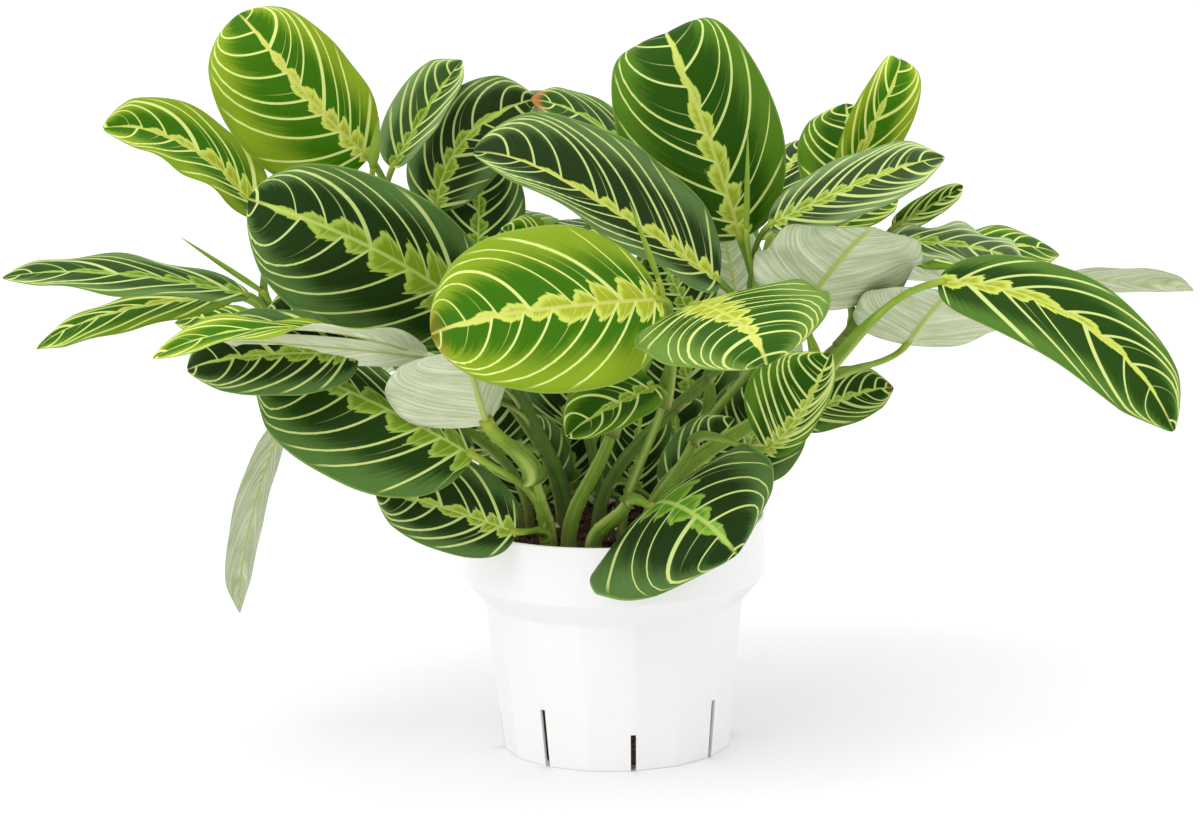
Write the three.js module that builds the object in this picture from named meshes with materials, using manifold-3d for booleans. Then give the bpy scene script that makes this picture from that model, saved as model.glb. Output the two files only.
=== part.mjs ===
// A prayer plant in a white nursery pot, in millimetres. The foot of the pot stands on z = 0 round
// the z axis, +Z is up, +X is to the right and +Y to the back.
// The pot is one thin moulding, the soil is one plug, and each leafy stem is one body in which the
// stem, its leaf stalks and its blades have grown together.
import * as THREE from "three";
import Module from "manifold-3d";

const wasm = await Module();
wasm.setup();

// Pot
const potHeight = 117.4;
const rimRadius = 76;
const collarFoot = 87.6;
const neckRadius = 65.5;
const neckHeight = 75.8;
const footRadius = 57.7;
const footRounding = 1.2;
const rimRounding = 0.8;
const wall = 1.6;
const potFloor = 2.2;
const panels = 16;
const panelTurn = 7.5;
const slitWidth = 2.7;
const slitReach = [50, 66];
const longSlit = 30;
const shortSlit = 19;

// Soil
const soilTop = 109;
const soilGap = 0.3;
const holeGap = 0.4;
const holeDepth = 16;

// Growth
const bladeThickness = 0.9;
const bladeSteps = [0, 0.08, 0.26, 0.5, 0.74, 0.92, 1];
const bladeColumns = 4;
const stalkRadius = 1.3;
const sheathRadius = 2.3;
const stalkSides = 5;
const stalkSteps = 3;
const stemSides = 6;
const stemSteps = 6;
const stemUpright = 3;
const stemTaper = 0.3;
const curveHandle = 0.35;
const stalkPastBase = 4;
const smallestDetail = 0.04;
const smallestBody = 1;

// Stems: name, foot in the soil [x, y], end [x, y, z], radius.
const stems = [
  ["s1", [-10, -47], [7, -50, 134], 4.2],
  ["s2", [4, -37], [26, -52, 186], 3.0],
  ["s3", [-8, -22], [70, -16, 214], 3.4],
  ["s4", [18, -26], [106, -38, 196], 4.0],
  ["s5", [14, -44], [40, -50, 164], 3.2],
  ["s6", [30, 14], [106, 40, 226], 2.8],
  ["s7", [44, 6], [128, 22, 212], 2.8],
  ["s8", [-6, 16], [-30, 34, 222], 2.8],
  ["s9", [-26, 14], [-98, 22, 236], 2.8],
  ["s10", [-42, 4], [-166, 0, 218], 2.8],
  ["s11", [-22, -8], [-54, -22, 206], 4.0],
  ["s12", [-32, -40], [-38, -60, 150], 4.2],
  ["s13", [-46, -14], [-120, 10, 176], 2.4],
  ["s14", [-26, 38], [-66, 74, 190], 2.8],
  ["s15", [4, 46], [8, 80, 200], 2.8],
  ["s16", [30, 40], [74, 70, 190], 2.8],
  ["s17", [-22, -44], [0, -46, 168], 3.6],
];

// Blades: name, number of the stem, place along the stem, base, tip, side that the upper face looks
// to, widths of the left and the right half, arch over the length, further curl at the tip, rise of
// each half, further rise towards the margin, twist and sideways sweep, all angles in degrees. The
// blades sa to sd are young leaves that are still rolled into spikes. From ca on, the leaves stand
// low in the middle or grow at the back.
const blades = [
  ["a", 9, 1, [-117, 10, 299], [-178, 0, 372], [0.1, -1, 0.35], [41, 28], 20, 60, 6, -14, 0, 20],
  ["b", 10, 1, [-169, -20, 274], [-242, -40, 322], [0.15, -0.6, 0.8], [26, 21], 25, 20, 22, -8, 0, -55],
  ["c", 11, 0.95, [-63, -36, 225], [-171, -60, 289], [0, -1, 0.2], [46, 33], 20, 50, 6, -14, 0, -22],
  ["d", 17, 1, [25, -84, 240], [-82, -141, 235], [0, -0.95, 0.4], [41, 41], 20, 60, 4, -14, 0, 0],
  ["e", 3, 0.95, [54, -26, 239], [-63, -60, 309], [-0.1, -0.65, 0.8], [30, 36], 20, 40, 24, -8, 0, 10],
  ["f", 3, 1, [66, 0, 256], [32, 0, 356], [0, -1, 0.15], [42, 36], 15, 140, 6, -14, 0, -8],
  ["fa", 3, 0.6, [65, 32, 220], [58, 38, 259], [0, 1, 0.2], [17, 17], 10, 10, 6, -10, 0, 0],
  ["fb", 3, 0.75, [42, 4, 214], [24, 8, 252], [0, -1, 0.2], [21, 21], 15, 20, 6, -14, 0, 0],
  ["g", 9, 0.9, [-107, 30, 291], [-71, 50, 342], [-0.35, -0.9, 0.2], [17, 14], 15, 10, 28, 0, 0, 0],
  ["h", 9, 0.8, [-86, 50, 266], [-34, 40, 323], [0.1, -1, 0.3], [23, 24], 20, 20, 6, -14, 0, 75],
  ["i", 8, 1, [38, 32, 270], [-36, 0, 327], [-0.1, -0.45, 0.9], [27, 27], 30, 20, 6, -14, 0, 0],
  ["j", 8, 0.9, [-3, 60, 289], [-52, 40, 319], [0, 1, 0.3], [20, 20], 20, 20, 6, -10, 0, 0],
  ["k", 8, 0.8, [-66, 50, 236], [-64, 70, 292], [0, -1, 0.2], [24, 24], 15, 20, 6, -14, 0, 0],
  ["l", 8, 0.6, [-23, -10, 242], [-52, -20, 266], [-0.2, -0.8, 0.6], [17, 17], 15, 20, 6, -14, 0, 0],
  ["n", 6, 0.9, [128, 60, 260], [124, 85, 312], [0, -1, 0.3], [28, 28], 15, 20, 6, -14, 0, 0],
  ["o", 6, 1, [120, 30, 272], [146, 22, 341], [0.2, -0.9, 0.3], [13, 18], 15, 120, 6, -14, 0, 14],
  ["p", 3, 0.9, [79, -27, 266], [164, -40, 299], [-0.1, -0.75, 0.65], [18, 18], 20, 20, 6, -14, 0, 0],
  ["q", 7, 0.9, [110, 0, 258], [145, 10, 272], [0, -0.6, 0.8], [10, 10], 15, 20, 6, -14, 0, 0],
  ["r", 7, 0.97, [143, 20, 257], [178, 20, 277], [0.3, -0.9, 0.2], [8, 7], 15, 30, 30, 0, 0, 0],
  ["t1", 7, 0.85, [155, 60, 234], [233, 80, 232], [0, -0.4, 0.9], [20, 20], 25, 20, 6, -14, 0, 0],
  ["t2", 7, 0.95, [137, 4, 252], [206, -12, 240], [0, -0.35, 0.9], [21, 21], 25, 20, 6, -14, 0, 0],
  ["t3", 7, 0.8, [215, 60, 220], [304, 90, 210], [0, 0.5, 0.85], [17, 17], 15, 10, 6, -10, 0, 0],
  ["u", 4, 1, [160, -46, 239], [267, -96, 173], [-0.1, -0.75, 0.65], [21, 27], 40, 20, 14, -14, 0, 52],
  ["v", 4, 0.9, [97, -4, 221], [128, -63, 269], [0, 0.6, 0.8], [41, 40], 15, 10, 6, -10, 0, 0],
  ["w", 2, 0.95, [41, -90, 238], [72, -150, 219], [0, -0.55, 0.85], [50, 46], 30, 70, 4, -14, 0, 0],
  ["x", 12, 0.12, [-66, -80, 165], [-172, -72, 212], [0, -0.62, 0.78], [43, 30], 20, 25, -18, -6, 0, 0],
  ["z", 11, 0.8, [-120, -86, 217], [-198, -114, 216], [0, -0.75, 0.65], [23, 27], 20, 30, 6, -14, 0, 0],
  ["aa", 11, 1, [-88, -82, 215], [-211, -138, 226], [0, 0, 1], [19, 16.5], 40, 10, 10, 0, 50, 0],
  ["ab", 11, 1, [-82, -84, 214], [-181, -112, 229], [0, 0.95, 0.15], [5, 9], 10, 10, 10, 0, 0, 0],
  ["bb", 12, 1, [-59, -84, 181], [-66, -124, 225], [-0.5, 0.75, 0.45], [30, 43], 15, 10, 28, 0, 0, 0],
  ["dd", 12, 0.02, [-47, -62, 123], [-114, -72, 147], [0, -0.9, 0.45], [21, 26], 20, 40, 6, -14, 0, 0],
  ["ee", 13, 1, [-166, 30, 165], [-193, 40, 61], [-0.85, 0.5, 0.1], [14, 19], 20, 10, 10, 0, 0, 0],
  ["ff", 2, 0.97, [22, -64, 194], [-21, -93, 176], [-0.2, -0.8, 0.5], [17, 17], 25, 30, 20, 0, 0, 0],
  ["gg", 1, 1, [19, -64, 134], [58, -116, 122], [-0.26, -0.56, 0.78], [50, 59], 90, 30, 4, -20, 0, 0],
  ["hh", 5, 1, [75, -50, 158], [107, -60, 208], [-0.2, -0.8, 0.4], [30, 11], 20, 20, 15, -10, 0, -40],
  ["ii", 7, 0.4, [90, 10, 162], [142, 10, 177], [0, -0.6, 0.8], [21, 17], 20, 20, 6, -14, 0, 0],
  ["ll", 4, 0.85, [150, 26, 196], [169, -27, 231], [0, 0.7, 0.7], [38, 38], 15, 10, 6, -10, 0, 0],
  ["nn", 10, 0.95, [-176, -20, 236], [-294, -40, 250], [0, -0.35, 0.93], [18.5, 18.5], 20, 10, 6, -14, 0, 0],
  ["oo", 10, 0.9, [-186, 10, 231], [-285, 0, 208], [-0.1, -0.5, 0.85], [16, 10], 30, 20, 6, -14, 0, 0],
  ["pp", 10, 0.85, [-171, 30, 211], [-220, 40, 213], [0, -0.4, 0.9], [13, 13], 25, 20, 6, -14, 0, 0],
  ["tt", 11, 0.7, [-109, -10, 208], [-168, -30, 228], [0, -0.8, 0.6], [25, 25], 20, 20, 6, -14, 0, 0],
  ["uu", 11, 0.6, [-82, -16, 192], [-98, -14, 231], [0, -0.8, 0.6], [22, 22], 20, 20, 6, -14, 0, 0],
  ["sa", 17, 1, [25, -86, 247], [11, -94, 288], [0, -1, 0.2], [2.5, 2.5], 4, 0, 55, 0, 0, 0],
  ["sb", 3, 1, [68, -28, 261], [69, -40, 313], [0, -1, 0.2], [2.5, 2.5], 4, 0, 55, 0, 0, 0],
  ["sc", 10, 1, [-168, -10, 234], [-210, -10, 264], [0, -1, 0.2], [2.5, 2.5], 10, 0, 55, 0, 0, 0],
  ["sd", 9, 1, [-115, 0, 295], [-111, 0, 320], [0, -1, 0.2], [4.5, 4.5], 4, 0, 50, 0, 0, 0],
  ["ca", 15, 0.55, [-22, 50, 150], [-6, 52, 206], [0, -1, 0.2], [29, 29], 15, 20, 6, -14, 0, 0],
  ["cb", 16, 0.4, [44, 60, 148], [34, 66, 208], [0, -1, 0.2], [28, 28], 15, 20, 6, -14, 0, 0],
  ["da", 15, 0.12, [-20, 58, 113], [-28, 64, 166], [0, -1, 0.2], [26, 26], 15, 20, 6, -14, 0, 0],
  ["db", 16, 0.12, [36, 46, 113], [32, 60, 168], [0, -1, 0.2], [27, 27], 15, 20, 6, -14, 0, 0],
  ["dc", 6, 0.3, [62, 26, 128], [84, 30, 180], [0.1, -1, 0.3], [26, 26], 15, 20, 6, -14, 0, 0],
  ["de", 3, 0.2, [30, -2, 122], [62, 6, 164], [0, -1, 0.3], [20, 20], 15, 20, 6, -14, 0, 0],
  ["df", 14, 0.15, [-36, 42, 114], [-52, 44, 162], [-0.1, -1, 0.3], [24, 24], 15, 20, 6, -14, 0, 0],
  ["dg", 8, 0.1, [10, 30, 116], [16, 34, 172], [0, -1, 0.2], [19, 19], 15, 20, 6, -14, 0, 0],
  ["dh", 9, 0.25, [-58, 20, 146], [-71, 24, 181], [0, -1, 0.2], [26, 26], 15, 20, 6, -14, 0, 0],
  ["ba", 14, 1, [-106, 90, 233], [-186, 130, 246], [-0.2, 0.5, 0.8], [30, 30], 30, 20, 6, -14, 0, 0],
  ["bp", 14, 0.95, [-90, 110, 225], [-130, 190, 215], [0, 0.5, 0.8], [31, 31], 35, 20, 6, -14, 0, 0],
  ["bc", 14, 0.9, [-50, 120, 245], [-70, 210, 235], [0, 0.5, 0.8], [32, 32], 35, 20, 6, -14, 0, 0],
  ["bd", 15, 1, [0, 120, 240], [0, 215, 225], [0, 0.5, 0.8], [33, 33], 35, 20, 6, -14, 0, 0],
  ["be", 15, 0.95, [40, 115, 250], [60, 205, 250], [0, 0.5, 0.8], [30, 30], 35, 20, 6, -14, 0, 0],
  ["bf", 16, 1, [85, 105, 240], [130, 185, 225], [0, 0.5, 0.8], [31, 31], 35, 20, 6, -14, 0, 0],
  ["bg", 16, 0.95, [120, 90, 225], [205, 140, 205], [0.2, 0.5, 0.8], [29, 29], 35, 20, 6, -14, 0, 0],
  ["bh", 14, 0.85, [-60, 90, 270], [-85, 150, 300], [0, 0.2, 0.9], [27, 27], 25, 20, 6, -14, 0, 0],
  ["bi", 15, 0.9, [30, 90, 275], [40, 155, 300], [0, 0.2, 0.9], [27, 27], 25, 20, 6, -14, 0, 0],
  ["bj", 16, 0.9, [80, 80, 262], [120, 130, 290], [0, 0.2, 0.9], [25, 25], 25, 20, 6, -14, 0, 0],
  ["bk", 14, 0.5, [-30, 70, 200], [-50, 140, 165], [0, 0.6, 0.8], [30, 30], 30, 20, 6, -14, 0, 0],
  ["bl", 16, 0.5, [50, 75, 195], [90, 140, 160], [0, 0.6, 0.8], [29, 29], 30, 20, 6, -14, 0, 0],
  ["bm", 14, 0.6, [-100, 60, 190], [-170, 100, 160], [-0.2, 0.5, 0.8], [29, 29], 30, 20, 6, -14, 0, 0],
];

// A closed solid from its corners and the triangles between them.
function solid(points, triangles) {
  const vertProperties = new Float32Array(points.flat());
  const triVerts = new Uint32Array(triangles.flat());
  return new wasm.Manifold(new wasm.Mesh({ numProp: 3, vertProperties, triVerts }));
}

// A solid from rings that all have the same number of corners, each ring given anticlockwise as
// seen from the end, with a flat cap on the first and the last.
function stack(rings) {
  const sides = rings[0].length;
  const points = rings.flat();
  const triangles = [];
  for (let i = 0; i + 1 < rings.length; i++) {
    for (let j = 0; j < sides; j++) {
      const a = i * sides + j;
      const b = i * sides + ((j + 1) % sides);
      triangles.push([a, b, b + sides], [a, b + sides, a + sides]);
    }
  }
  const last = (rings.length - 1) * sides;
  for (let j = 1; j + 1 < sides; j++) {
    triangles.push([0, j + 1, j], [last, last + j, last + j + 1]);
  }
  return solid(points, triangles);
}

// A level ring of the pot: round where the flatness is 0, sixteen flat panels where it is 1.
function potRing(radius, z, flatness) {
  const steps = panels * 3;
  const ring = [];
  for (let i = 0; i < steps; i++) {
    const turn = (i / steps) * 2 * Math.PI;
    const inPanel = ((i % 3) / 3 - 0.5) * ((2 * Math.PI) / panels);
    const panel = Math.cos(Math.PI / panels) / Math.cos(inPanel);
    const reach = radius * (1 + flatness * (panel - 1));
    const angle = turn + (panelTurn * Math.PI) / 180;
    ring.push([reach * Math.sin(angle), -reach * Math.cos(angle), z]);
  }
  return ring;
}

// The soil and the hollow of the pot are both drawn from this, so they nest.
function potCore(inset, bottom, top) {
  const slope = (neckRadius - footRadius) / neckHeight;
  const rings = [
    potRing(footRadius + slope * bottom - inset, bottom, 1),
    potRing(neckRadius - inset, neckHeight, 1),
    potRing(rimRadius - inset, collarFoot, 0),
    potRing(rimRadius - inset, top, 0),
  ];
  return stack(rings);
}

// The slits in the foot of the wall are long and short by turns.
function makePot() {
  const outside = stack([
    potRing(footRadius - footRounding, 0, 1),
    potRing(footRadius, footRounding, 1),
    potRing(neckRadius, neckHeight, 1),
    potRing(rimRadius, collarFoot, 0),
    potRing(rimRadius, potHeight - rimRounding, 0),
    potRing(rimRadius - rimRounding, potHeight, 0),
  ]);
  let pot = outside.subtract(potCore(wall, potFloor, potHeight + 5));
  for (let k = 0; k < panels / 2; k++) {
    const height = k % 2 === 0 ? shortSlit : longSlit;
    const angle = ((panelTurn + (k * 720) / panels) * Math.PI) / 180;
    const out = [Math.sin(angle), -Math.cos(angle)];
    const along = [Math.cos(angle), Math.sin(angle)];
    const [inner, outer] = slitReach;
    const ring = (z) =>
      [[inner, -1], [outer, -1], [outer, 1], [inner, 1]].map(([reach, side]) => [
        out[0] * reach + (along[0] * side * slitWidth) / 2,
        out[1] * reach + (along[1] * side * slitWidth) / 2,
        z,
      ]);
    pot = pot.subtract(stack([ring(-2), ring(height)]));
  }
  return pot;
}

// A plain upright hole in the soil for the foot of each stem.
function makeSoil() {
  let soil = potCore(wall + soilGap, potFloor + soilGap, soilTop);
  for (const [, [x, y], , radius] of stems) {
    const ring = (z) => {
      const corners = [];
      for (let j = 0; j < 8; j++) {
        const angle = (j / 8) * 2 * Math.PI;
        const reach = radius + holeGap;
        corners.push([x + reach * Math.cos(angle), y + reach * Math.sin(angle), z]);
      }
      return corners;
    };
    soil = soil.subtract(stack([ring(soilTop - holeDepth - holeGap), ring(soilTop + 2)]));
  }
  return soil;
}

const vector = (list) => new THREE.Vector3(...list);

// The half width of a blade at a share u of its length, as a share of the greatest half width. The
// end is drawn in to a point, less so on a blade that curls over there.
function outline(u, curl) {
  const body = Math.sqrt(Math.max(0, 1 - Math.abs(2 * u ** 0.93 - 1) ** 2.2));
  const end = Math.min(1, Math.max(0, (u - 0.84) / 0.16));
  return body * (1 - Math.max(0.1, 0.75 - curl / 100) * end ** 1.5);
}

// Where the midrib of a blade is at a share u of its length, and which way it, the upper face and
// the right-hand half look there. The midrib is drawn at unit length, then turned and scaled so
// that it runs from the base to the tip.
function midrib(blade, u) {
  const [, , , base, tip, face, , bend, curl, , , twist, sweep] = blade;
  const rad = Math.PI / 180;
  const headings = (x) => {
    const down = bend * rad * (x - 0.5) + curl * rad * Math.max(0, (x - 0.6) / 0.4) ** 2;
    const across = sweep * rad * (x - 0.5);
    const flat = Math.cos(down);
    return {
      along: new THREE.Vector3(flat * Math.cos(across), flat * Math.sin(across), -Math.sin(down)),
      up: new THREE.Vector3(
        Math.sin(down) * Math.cos(across),
        Math.sin(down) * Math.sin(across),
        Math.cos(down),
      ),
    };
  };
  const steps = 48;
  const walk = (share) => {
    const at = new THREE.Vector3();
    for (let i = 0; i < steps; i++) {
      const part = Math.min(1, Math.max(0, share * steps - i)) / steps;
      at.addScaledVector(headings((i + 0.5) / steps).along, part);
    }
    return at;
  };
  const end = walk(1);
  const swing = Math.atan2(end.y, end.x);
  const level = Math.hypot(end.x, end.y);
  const settle = new THREE.Matrix4()
    .makeRotationY(Math.atan2(end.z, level))
    .multiply(new THREE.Matrix4().makeRotationZ(-swing));
  const chord = vector(tip).sub(vector(base));
  const along = chord.clone().normalize();
  const right = along.clone().cross(vector(face).normalize()).normalize();
  const up = right.clone().cross(along);
  const place = new THREE.Matrix4().makeBasis(along, right, up).multiply(settle);
  const here = headings(u);
  const heading = here.along.applyMatrix4(place);
  const upper = here.up.applyMatrix4(place);
  const side = heading.clone().cross(upper);
  const turn = twist * rad * (u - 0.5);
  return {
    point: walk(u).applyMatrix4(place).multiplyScalar(chord.length() / end.length()).add(vector(base)),
    heading,
    side: side.clone().multiplyScalar(Math.cos(turn)).addScaledVector(upper, Math.sin(turn)),
    upper: upper.clone().multiplyScalar(Math.cos(turn)).addScaledVector(side, -Math.sin(turn)),
  };
}

// A blade: a thin waved plate, split into the same triangles on both faces, that comes to a point
// at the base and at the tip.
function makeBlade(blade) {
  const [, , , , , , widths, , curl, fold, cup] = blade;
  const rise = (fold * Math.PI) / 180;
  const more = (cup * Math.PI) / 180 || 1e-5;
  const upperFace = [];
  const lowerFace = [];
  for (const u of bladeSteps) {
    const rib = midrib(blade, u);
    const ends = u === 0 || u === 1;
    for (let j = 0; j <= (ends ? 0 : bladeColumns); j++) {
      const v = ends ? 0 : (2 * j) / bladeColumns - 1;
      const share = Math.abs(v);
      const half = widths[v > 0 ? 1 : 0] * outline(u, curl);
      const out = (Math.sin(rise + more * share) - Math.sin(rise)) / more;
      const lift = (Math.cos(rise) - Math.cos(rise + more * share)) / more;
      const lean = Math.sign(v) * (rise + more * share);
      const at = rib.point
        .clone()
        .addScaledVector(rib.side, half * out * Math.sign(v))
        .addScaledVector(rib.upper, half * lift);
      const normal = rib.upper
        .clone()
        .multiplyScalar(Math.cos(lean))
        .addScaledVector(rib.side, -Math.sin(lean));
      upperFace.push(at.clone().addScaledVector(normal, bladeThickness / 2).toArray());
      lowerFace.push(at.clone().addScaledVector(normal, -bladeThickness / 2).toArray());
    }
  }
  const count = upperFace.length;
  const rows = bladeSteps.length - 2;
  const across = bladeColumns + 1;
  const at = (row, column) => {
    if (row === 0) return 0;
    if (row > rows) return count - 1;
    return 1 + (row - 1) * across + column;
  };
  const triangles = [];
  const add = (a, b, c) => {
    triangles.push([a, b, c], [a + count, c + count, b + count]);
  };
  for (let row = 0; row <= rows; row++) {
    for (let column = 0; column < bladeColumns; column++) {
      const a = at(row, column);
      const b = at(row, column + 1);
      const c = at(row + 1, column + 1);
      const d = at(row + 1, column);
      if (a !== b) add(a, b, c);
      if (c !== d) add(a, c, d);
    }
    const edge = (a, b) => {
      triangles.push([a, b + count, b], [a, a + count, b + count]);
    };
    edge(at(row + 1, 0), at(row, 0));
    edge(at(row, bladeColumns), at(row + 1, bladeColumns));
  }
  return solid([...upperFace, ...lowerFace], triangles);
}

// A tube through stations, each a middle, a heading and a radius.
function makeTube(stations, sides) {
  const rings = [];
  let across = new THREE.Vector3(0.31, 0.95, 0.05);
  for (const { middle, heading, radius } of stations) {
    across = across.clone().addScaledVector(heading, -across.dot(heading)).normalize();
    const other = heading.clone().cross(across);
    const ring = [];
    for (let j = 0; j < sides; j++) {
      const angle = (j / sides) * 2 * Math.PI;
      ring.push(
        middle
          .clone()
          .addScaledVector(across, radius * Math.cos(angle))
          .addScaledVector(other, radius * Math.sin(angle))
          .toArray(),
      );
    }
    rings.push(ring);
  }
  return stack(rings);
}

// Evenly spaced stations along a curve.
function stationsOn(curve, steps, radiusAt) {
  const stations = [];
  for (let i = 0; i <= steps; i++) {
    const share = i / steps;
    stations.push({
      middle: curve.getPoint(share),
      heading: curve.getTangent(share).normalize(),
      radius: radiusAt(share),
    });
  }
  return stations;
}

// Above its hole a stem starts straight up, then leans out to its end.
function riseOf([, [x, y], end]) {
  const collar = new THREE.Vector3(x, y, soilTop + stemUpright);
  const top = vector(end);
  const reach = collar.distanceTo(top);
  const lean = new THREE.Vector3(x, y, soilTop - holeDepth).sub(top).normalize();
  return new THREE.CubicBezierCurve3(
    collar,
    collar.clone().add(new THREE.Vector3(0, 0, reach * curveHandle)),
    top.clone().addScaledVector(lean, reach * curveHandle),
    top,
  );
}

function makeStem(stem) {
  const [, [x, y], , radius] = stem;
  const foot = {
    middle: new THREE.Vector3(x, y, soilTop - holeDepth),
    heading: new THREE.Vector3(0, 0, 1),
    radius,
  };
  const rise = stationsOn(riseOf(stem), stemSteps, (share) => radius * (1 - stemTaper * share));
  return makeTube([foot, ...rise], stemSides);
}

// Each stalk leaves its stem along it, wrapped in a sheath at first, and runs a little way under the
// base of its blade. A pocket that is closed in where stalks meet is filled.
function makeLeafyStem(stem, number) {
  const rise = riseOf(stem);
  const solids = [makeStem(stem)];
  for (const blade of blades.filter((entry) => entry[1] === number)) {
    const place = Math.min(0.98, blade[2]);
    const start = rise.getPoint(place);
    const leave = rise.getTangent(place);
    const rib = midrib(blade, 0);
    const end = rib.point.clone().addScaledVector(rib.heading, stalkPastBase);
    const reach = start.distanceTo(end);
    const curve = new THREE.CubicBezierCurve3(
      start,
      start.clone().addScaledVector(leave, reach * curveHandle),
      end.clone().addScaledVector(rib.heading, -reach * curveHandle),
      end,
    );
    const sheath = (share) => stalkRadius + (sheathRadius - stalkRadius) * Math.max(0, 1 - share * 2);
    solids.push(makeTube(stationsOn(curve, stalkSteps, sheath), stalkSides));
    solids.push(makeBlade(blade));
  }
  const bodies = wasm.Manifold.union(solids).asOriginal().simplify(smallestDetail).decompose();
  return wasm.Manifold.compose(bodies.filter((body) => body.volume() > smallestBody));
}

function toMesh(name, body, colour, roughness) {
  const { vertProperties, triVerts, numProp } = body.getMesh();
  const positions = new Float32Array((vertProperties.length / numProp) * 3);
  for (let i = 0; i < positions.length / 3; i++) {
    for (let k = 0; k < 3; k++) positions[i * 3 + k] = vertProperties[i * numProp + k];
  }
  const geometry = new THREE.BufferGeometry();
  geometry.setAttribute("position", new THREE.BufferAttribute(positions, 3));
  geometry.setIndex(new THREE.BufferAttribute(new Uint32Array(triVerts), 1));
  geometry.computeVertexNormals();
  const material = new THREE.MeshStandardMaterial({ color: colour, roughness });
  const mesh = new THREE.Mesh(geometry, material);
  mesh.name = name;
  return mesh;
}

const plant = new THREE.Group();
plant.name = "potted_prayer_plant";
plant.add(toMesh("pot", makePot(), 0xf4f4f2, 0.35));
plant.add(toMesh("potting_soil", makeSoil(), 0x3b2a1e, 0.95));
stems.forEach((stem, index) => {
  const body = makeLeafyStem(stem, index + 1);
  const name = `leafy_stem_${String(index + 1).padStart(2, "0")}`;
  plant.add(toMesh(name, body, 0x4c8a2c, 0.5));
});

export default plant;
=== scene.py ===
import math
from collections import namedtuple

import bpy
import numpy as np
from mathutils import Matrix, Vector


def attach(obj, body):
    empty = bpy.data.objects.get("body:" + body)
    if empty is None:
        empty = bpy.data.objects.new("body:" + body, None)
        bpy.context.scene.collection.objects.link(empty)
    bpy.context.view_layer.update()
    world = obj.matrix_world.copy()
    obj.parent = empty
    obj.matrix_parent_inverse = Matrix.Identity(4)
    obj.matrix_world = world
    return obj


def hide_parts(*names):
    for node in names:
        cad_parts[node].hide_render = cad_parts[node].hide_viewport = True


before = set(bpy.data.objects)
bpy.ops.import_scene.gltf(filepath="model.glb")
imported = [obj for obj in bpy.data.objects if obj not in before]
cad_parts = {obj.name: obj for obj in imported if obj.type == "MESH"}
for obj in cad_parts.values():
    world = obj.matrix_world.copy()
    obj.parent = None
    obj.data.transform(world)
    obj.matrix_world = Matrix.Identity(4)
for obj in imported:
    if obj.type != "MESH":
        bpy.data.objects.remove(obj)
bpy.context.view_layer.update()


# Pot
# A thin moulding in white plastic that stands on its own foot. Sixteen flat panels taper down to
# the foot, a sloping shoulder carries the smooth round collar, and eight slits drain the foot.
mm = 0.001
pot_height = 117.4
rim_radius = 76
collar_foot = 87.6
neck_radius = 65.5
neck_height = 75.8
foot_radius = 57.7
wall = 1.6
pot_floor = 2.2
panels = 16
panel_turn = math.radians(7.5)
panel_edge_cut = 0.998
slit_width = 2.7
short_slit = 19
long_slit = 30
slit_reach = 50
sharp_edge = math.radians(9)
pot_white = (0.87, 0.87, 0.86, 1)
pot_shade = (0.845, 0.845, 0.835, 1)


class Value:
    """A socket of a material that arithmetic can be written on: each operator adds a Math node."""

    def __init__(self, finish, socket):
        self.finish = finish
        self.socket = socket

    def math(self, operation, *values):
        return self.finish.node("ShaderNodeMath", {"operation": operation}, values)

    def __add__(self, other):
        return self.math("ADD", self, other)

    __radd__ = __add__

    def __sub__(self, other):
        return self.math("SUBTRACT", self, other)

    def __rsub__(self, other):
        return self.math("SUBTRACT", other, self)

    def __mul__(self, other):
        return self.math("MULTIPLY", self, other)

    __rmul__ = __mul__

    def __truediv__(self, other):
        return self.math("DIVIDE", self, other)

    def __rtruediv__(self, other):
        return self.math("DIVIDE", other, self)

    def __pow__(self, other):
        return self.math("POWER", self, other)

    def __gt__(self, other):
        return self.math("GREATER_THAN", self, other)

    def __lt__(self, other):
        return self.math("LESS_THAN", self, other)

    def __abs__(self):
        return self.math("ABSOLUTE", self)

    def floor(self):
        return self.math("FLOOR", self)

    def least(self, other):
        return self.math("MINIMUM", self, other)

    def most(self, other):
        return self.math("MAXIMUM", self, other)

    def sine(self):
        return self.math("SINE", self)

    def fraction(self):
        return self.math("FRACT", self)

    def rise(self, start, end):
        """0 up to start, 1 from end, and a smooth step between. With end below start it falls."""
        settings = {"interpolation_type": "SMOOTHSTEP"}
        return self.finish.node("ShaderNodeMapRange", settings, {0: self, 1: start, 2: end})


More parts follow.
